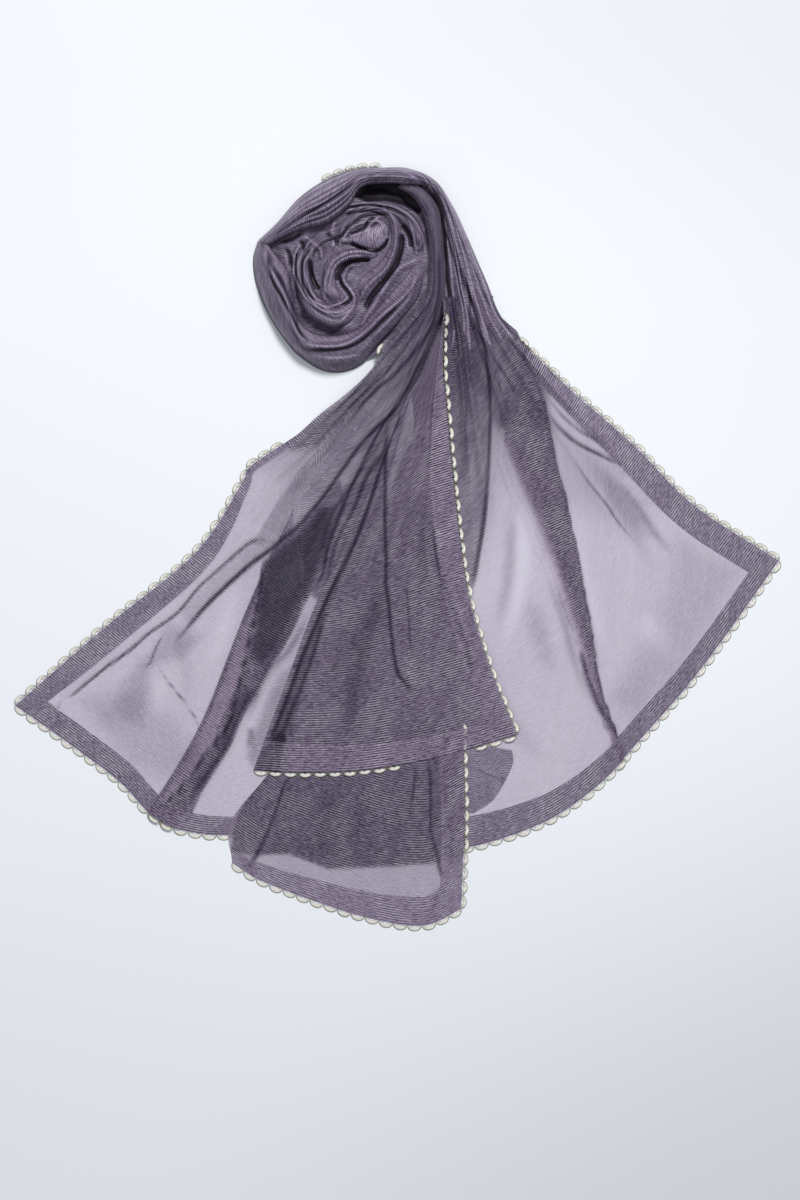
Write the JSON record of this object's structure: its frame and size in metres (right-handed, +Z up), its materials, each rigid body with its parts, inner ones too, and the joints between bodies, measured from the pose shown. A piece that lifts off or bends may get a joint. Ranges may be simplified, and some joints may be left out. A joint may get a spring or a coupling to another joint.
{
  "type": "dupatta stole",
  "caption": "Sheer grey-violet dupatta stole edged with scalloped lace, laid flat with its middle rolled into a rosette and both hemmed ends fanned out below.",
  "frame": {"origin": "middle of the outline, on the surface that the stole lies on", "axes": "+X to the right, +Y from the hems towards the rosette, +Z up from the surface"},
  "size_m": [0.767, 0.7694, 0.0341],
  "materials": {
    "wing_cloth": "matte sheer weave",
    "panel_cloth": "matte sheer weave",
    "rosette_cloth": "matte sheer weave",
    "deep_cloth": "matte sheer weave",
    "hem": "matte sheer weave",
    "lace": "satin scalloped lace"
  },
  "bodies": {
    "root": {"front_panel": "panel_cloth", "front_panel_end_hem": "hem", "front_panel_end_lace": "lace", "front_panel_side_hem": "hem", "front_panel_side_lace": "lace", "heart": "rosette_cloth", "hidden_layers": "deep_cloth", "inner_coil": "rosette_cloth", "left_wing": "wing_cloth", "left_wing_end_hem": "hem", "left_wing_end_inner_hem": "hem", "left_wing_end_inner_lace": "lace", "left_wing_end_lace": "lace", "left_wing_side_hem": "hem", "left_wing_side_lace": "lace", "lower_panel": "panel_cloth", "lower_panel_end_hem": "hem", "lower_panel_end_lace": "lace", "lower_panel_side_hem": "hem", "lower_panel_side_lace": "lace", "middle_coil": "rosette_cloth", "outer_wrap": "rosette_cloth", "peeking_fold": "deep_cloth", "petal": "rosette_cloth", "right_wing": "wing_cloth", "right_wing_end_hem": "hem", "right_wing_end_inner_hem": "hem", "right_wing_end_inner_lace": "lace", "right_wing_end_lace": "lace", "right_wing_side_hem": "hem", "right_wing_side_lace": "lace", "rosette_core": "deep_cloth", "shoulder": "rosette_cloth", "shoulder_lace": "lace"}
  },
  "joints": []
}
